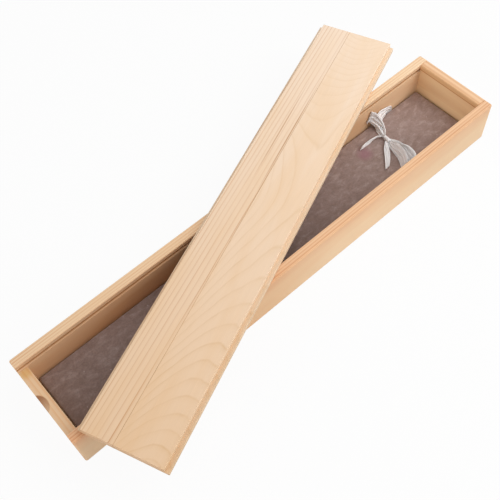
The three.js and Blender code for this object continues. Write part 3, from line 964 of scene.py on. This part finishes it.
rightStrands = {
    "fixed end": [
        [0, 0, 1.2, 1, 0, 0, 0.3],
        [-1.4, 0.18, 0.8, 0.9, 0.3, 0, 0.36],
        [-2.4, 0.35, 0.7, 1, 0.1, 0, 0.42],
        [-3.4, 0.5, 0.7, 1, 0.2, 0, 0.44],
        [-4.8, 0.62, 0.7, 1, 0.2, 0, 0.55],
        [-6.2, 0.78, 0.7, 1, 0, 0, 0.85],
        [-6.6, 0.92, 0.8, 1, 0, 0, 0.9],
        [-6.6, 0.982, 0, 1, 0, 0, 0.9],
        [-6.6, 0.987, -2.8, 1, 0, 0, 0.9],
    ],
    "loop out": [
        [0, 0, 2.4, 0, 0.2, 1, 0.16],
        [0.9, 0.09, 3, 0.04, 0.19, 0.98, 0.16],
        [1.8, 0.3, 4.9, 0, -0.09, 1, 0.2],
        [1, 0.45, 4.7, 0.22, -0.43, 0.87, 0.6],
        [-0.5, 0.61, 4.7, 0.36, -0.46, 0.81, 0.86],
        [-1.9, 0.75, 4.8, 0.28, -0.33, 0.9, 0.92],
        [-4.2, 0.86, 5.2, 0, -0.08, 1, 0.95],
    ],
    "loop back": [
        [-4.2, 0.86, 5.2, 0, -0.08, 1, 0.95],
        [-7.6, 0.85, 5.1, 0, -0.15, 1, 0.95],
        [-8.7, 0.76, 5, 0, -0.38, 0.92, 0.95],
        [-6.3, 0.64, 4.9, 0.02, -0.5, 0.87, 0.96],
        [-4.4, 0.52, 4.8, 0.05, -0.5, 0.87, 0.96],
        [-3.3, 0.38, 4.4, 0.14, -0.5, 0.87, 0.86],
        [-2, 0.23, 3.5, 0.16, -0.53, 0.84, 0.6],
        [-0.3, 0.09, 2.6, 0.43, -0.64, 0.64, 0.26],
        [0, 0, 2.4, 0.43, -0.64, 0.64, 0.22],
    ],
    "tail": [
        [-0.6, 0.02, 2, 0.3, -0.9, -0.1, 0.22],
        [-2.4, 0.07, 1.9, 0.4, -0.88, -0.24, 0.27],
        [-5.8, 0.17, 1.6, 0.57, -0.79, -0.23, 0.34],
        [-8.5, 0.27, 1.5, 0.6, -0.78, -0.19, 0.38],
        [-11.6, 0.38, 1.4, 0.75, -0.65, -0.17, 0.36],
        [-17.4, 0.54, 1.3, 0.51, -0.86, -0.07, 0.2],
    ],
}


# A smooth line through rows of numbers whose first three are a place, with 16 places from row to row
def smoothRows(rows):
    rows = np.array(rows, float)
    rows = np.vstack([2 * rows[0] - rows[1], rows, 2 * rows[-1] - rows[-2]])
    spans = np.linalg.norm(np.diff(rows[:, :3], axis=0), axis=1) ** 0.5
    at = np.concatenate([[0], np.cumsum(spans)])
    line = []
    for i in range(1, len(rows) - 2):
        p = rows[i - 1 : i + 3]
        k = at[i - 1 : i + 3]
        for t in np.linspace(k[1], k[2], 16, endpoint=i == len(rows) - 3):
            a = [((k[j + 1] - t) * p[j] + (t - k[j]) * p[j + 1]) / (k[j + 1] - k[j]) for j in range(3)]
            b = [((k[j + 2] - t) * a[j] + (t - k[j]) * a[j + 1]) / (k[j + 2] - k[j]) for j in range(2)]
            line.append(((k[2] - t) * b[0] + (t - k[1]) * b[1]) / (k[2] - k[1]))
    return np.array(line)


# How far a ribbon's pleats swing, in radians, and the share of its width that it then keeps. The widest
# swing keeps a twentieth, less than any station asks for
swings = np.linspace(0, 2.3, 80)
turnsRound = np.linspace(0, 2 * math.pi, 200, endpoint=False)
keptShares = np.array([np.cos(s * np.sin(turnsRound)).mean() for s in swings])


# Sections of a ribbon gathered into pleats, each as long round its folds as the ribbon is wide. They
# have places across it and through it, one row for each share of the width kept. A second wave, out of
# step with the first, makes the pleats uneven
def pleatedSections(shares, drift, look):
    t = np.linspace(0, 1, look["columns"] + 1)
    swing = np.interp(-shares, -keptShares, swings)[:, None]
    wave = 2 * math.pi * look["pleats"] * t[None, :] + drift[:, None]
    uneven = look["unevenPleats"] * np.sin(1.7 * wave + 1.3 * drift[:, None])
    turn = swing * (np.sin(wave) + uneven)
    across = np.cumsum(np.cos(turn), axis=1) / look["columns"]
    through = np.cumsum(np.sin(turn), axis=1) / look["columns"]
    across -= across.mean(axis=1, keepdims=True)
    through -= through.mean(axis=1, keepdims=True)
    across *= shares[:, None] / np.ptp(across, axis=1)[:, None]
    return across * look["width"], through * look["width"]


# One strand of ribbon as a grid of places in mm, and each one's place on the flat ribbon
def ribbonStrand(rows, look, knot, phase, slant=0, tight=1):
    line = smoothRows(rows)
    s = np.concatenate([[0], np.cumsum(np.linalg.norm(np.diff(line[:, :3], axis=0), axis=1))])
    steps = max(int(s[-1] / look["step"]), 2)
    c = np.linspace(0, 1, look["columns"] + 1)
    at = np.linspace(0, 1, steps + 1)[:, None] * (s[-1] - slant * look["width"] * c[None, :])
    shares = np.interp(at[:, 0], s, line[:, 6])
    wander = look["pleatWander"] * np.sin(at[:, 0] / look["wanderLength"] + phase)
    drift = phase + look["pleatDrift"] * at[:, 0] + wander
    across, through = pleatedSections(shares, drift, look)
    middle = np.stack([np.interp(at, s, line[:, k]) for k in range(3)], 2)
    ahead = np.gradient(line[:, :3], s, axis=0)
    tangent = np.stack([np.interp(at, s, ahead[:, k]) for k in range(3)], 2)
    tangent /= np.linalg.norm(tangent, axis=2, keepdims=True)
    side = np.stack([np.interp(at, s, line[:, 3 + k]) for k in range(3)], 2)
    side -= tangent * (side * tangent).sum(2, keepdims=True)
    side /= np.linalg.norm(side, axis=2, keepdims=True)
    # Pleats are pressed in the knot and where the ribbon goes down beside the pad
    fromKnot = np.linalg.norm(middle[:, :1] - knot, axis=2)
    overPad = middle[:, :1, 2] - knot[2]
    leastDepth = look["pressedDepth"] * tight
    pressed = np.clip((fromKnot - look["pressFrom"]) / look["pressReach"], leastDepth, 1)
    pressed = pressed * np.clip(overPad / look["freeHeight"], look["besidePad"], 1)
    places = middle + side * across[..., None]
    places += np.cross(tangent, side) * (through * pressed * look["pleatDepth"])[..., None]
    return places, np.stack([np.broadcast_to(c * look["width"], at.shape), at], 2), s[-1]


# A strand's stations, run on to the middle of the knot where they stop just short of it
def intoKnot(stations, look):
    first, last = stations[0], stations[-1]
    near, far = look["shortOfKnot"]
    if near < first[1] < far:
        stations = [[0, 0, look["knotMiddle"], *first[3:6], look["inKnot"]], *stations]
    if near < last[1] < far:
        stations = [*stations, [0, 0, look["knotMiddle"], *last[3:6], look["inKnot"]]]
    return stations


def knotRows(knot, look, turns):
    rows = []
    for k in range(turns["pieces"]):
        angle = math.radians(turns["firstAngle"] + turns["angle"] * k)
        reach = look["knotReach"] + turns["growth"] * k
        height = look["knotHeight"] + turns["growth"] * k
        x = knot[0] + reach * math.sin(angle)
        y = knot[1] + turns["start"] - turns["advance"] * k
        z = knot[2] + look["knotMiddle"] + height * math.cos(angle)
        rows.append([x, y, z, turns["lean"], 1, 0, turns["kept"]])
    return rows


def makeRibbon(name, node, strands, wallY, turns, look):
    endInside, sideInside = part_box("far_end")[0][0] / mm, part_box("left_side")[0][1] / mm
    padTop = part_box("velvet_cover")[1][2] / mm
    knot = (endInside - look["knotFromFarEnd"], sideInside - look["knotFromLeftSide"], padTop)
    whole = {
        "fixed end": strands["fixed end"],
        "loop": strands["loop out"] + strands["loop back"][1:],
        "tail": strands["tail"],
    }
    parts = []
    for number, (part, stations) in enumerate(whole.items()):
        rows = [
            [knot[0] + a, knot[1] + share * (wallY - knot[1]), knot[2] + up, *lay]
            for a, share, up, *lay in intoKnot(stations, look)
        ]
        slant = look["tailSlant"] if part == "tail" else 0
        parts.append(ribbonStrand(rows, look, knot, look["strandPhase"] * number + wallY, slant))
    if turns:
        finer = {**look, "step": turns["step"]}
        rows = knotRows(knot, look, turns)
        parts.append(ribbonStrand(rows, finer, knot, turns["phase"], tight=turns["tight"]))
    points = []
    flats = []
    faces = []
    length = 0
    for grid, flat, long in parts:
        addGrid(points, flats, faces, grid, flat, length)
        length += long
    points = np.array(points) * mm
    keepClear(points, look)
    ribbon = meshObject(name, points, faces)
    cloth = ribbon.data.attributes.new("onRibbon", "FLOAT_VECTOR", "POINT")
    for k, (across, along) in enumerate(flats):
        cloth.data[k].vector = (across, along, 0)
    body = ribbon.modifiers.new("cloth thickness", "SOLIDIFY")
    body.thickness = look["thickness"] * mm
    body.offset = 0
    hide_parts(node)
    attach(ribbon, "box")
    print("%s: %.0f mm of ribbon" % (name, length))
    return ribbon


def addGrid(points, flats, faces, grid, flat, before):
    rows, columns = grid.shape[:2]
    first = len(points)
    points += list(grid.reshape(-1, 3))
    flats += [(across, along + before) for across, along in flat.reshape(-1, 2)]
    for i in range(rows - 1):
        for j in range(columns - 1):
            k = first + i * columns + j
            faces.append((k, k + 1, k + columns + 1, k + columns))


# Lifts what would sink into the pad, and keeps what is over the pad off the walls
def keepClear(points, look):
    pad = BVHTree.FromObject(velvet, bpy.context.evaluated_depsgraph_get())
    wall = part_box("left_side")[0][1] - look["wallClearance"] * mm
    _, side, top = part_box("velvet_cover")[1]
    overhead = 50 * mm
    for point in points:
        if point[2] < top and abs(point[1]) > side:
            continue
        point[1] = min(max(point[1], -wall), wall)
        hit = pad.ray_cast(Vector((point[0], point[1], overhead)), Vector((0, 0, -1)))[0]
        if hit:
            point[2] = max(point[2], hit.z + look["padClearance"] * mm)


# Matt polyester ribbon, plain woven from fine threads: soft grey-white, with fine ribs across it, a firmer
# woven edge made paler partly as painted highlight, and faint creases along it. Lengths are in mm
ribbonLook = {
    "tones": [(0.32, "#e8e4e3"), (0.62, "#f9f7f7")],
    "creaseSize": (1.6, 14, 1),
    # the woven edge's paler colour, partly painted highlight
    "edge": "#fdfcfc",
    "edgeWidth": 0.6,
    "edgeShare": 0.8,
    "rib": 0.45,  # ribs and threads are drawn about twice as wide as real ones, to show
    "thread": 0.3,
    "weaveTone": (0.96, 1.04),
    "relief": 0.03,
    "bump": 0.5,
    "roughness": 0.6,
    "ior": 1.5,
    "sheen": 0.4,
    "sheenRoughness": 0.5,
    "sheenTint": "#ffffff",
}


def ribbonMaterial(look, width):
    material, tree = newMaterial("polyester ribbon, woven")
    flat = addNode(tree, "Attribute", attribute_name="onRibbon").outputs["Vector"]
    across, along = addNode(tree, "SeparateXYZ", {0: flat}).outputs[:2]
    rib = addNode(tree, "Math", {0: along, 1: 2 * math.pi / look["rib"]}, operation="MULTIPLY")
    ribWave = addNode(tree, "Math", {0: rib}, operation="SINE")
    thread = addNode(tree, "Math", {0: across, 1: 2 * math.pi / look["thread"]}, operation="MULTIPLY")
    threadWave = addNode(tree, "Math", {0: thread}, operation="SINE")
    weave = addNode(tree, "Math", {0: ribWave, 1: threadWave}, operation="MULTIPLY")
    crease = patches(tree, flat, look["creaseSize"], detail=3)
    tone = setStops(addNode(tree, "ValToRGB", {0: crease}), look["tones"])
    fromMiddle = addNode(tree, "Math", {0: across, 1: width / 2}, operation="SUBTRACT")
    outward = addNode(tree, "Math", {0: fromMiddle}, operation="ABSOLUTE")
    # The paler edge is partly painted highlight, where an edge catches the light
    edgeRange = (width / 2 - look["edgeWidth"], width / 2 - look["edgeWidth"] / 2)
    edgeAndHighlight = addNode(tree, "MapRange", {0: outward, **fromTo(edgeRange, (0, look["edgeShare"]))})
    colour = addNode(tree, "MixRGB", {0: edgeAndHighlight, 1: tone, 2: linear(look["edge"])})
    weaveTone = addNode(tree, "MapRange", {0: weave, **fromTo((-1, 1), look["weaveTone"])})
    toned = addNode(tree, "VectorMath", {0: colour, 1: weaveTone}, operation="MULTIPLY")
    return finishSurface(material, look, toned, weave)


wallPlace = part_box("left_side")[0][1] / mm
ribbonCloth = ribbonMaterial(ribbonLook, bowLook["width"])
leftRibbon = makeRibbon("bow_left_ribbon", "left_ribbon", leftStrands, wallPlace, None, bowLook)
giveMaterial(leftRibbon, ribbonCloth)
rightRibbon = makeRibbon("bow_right_ribbon", "right_ribbon", rightStrands, -wallPlace, knotLook, bowLook)
giveMaterial(rightRibbon, ribbonCloth)
print("bow made")
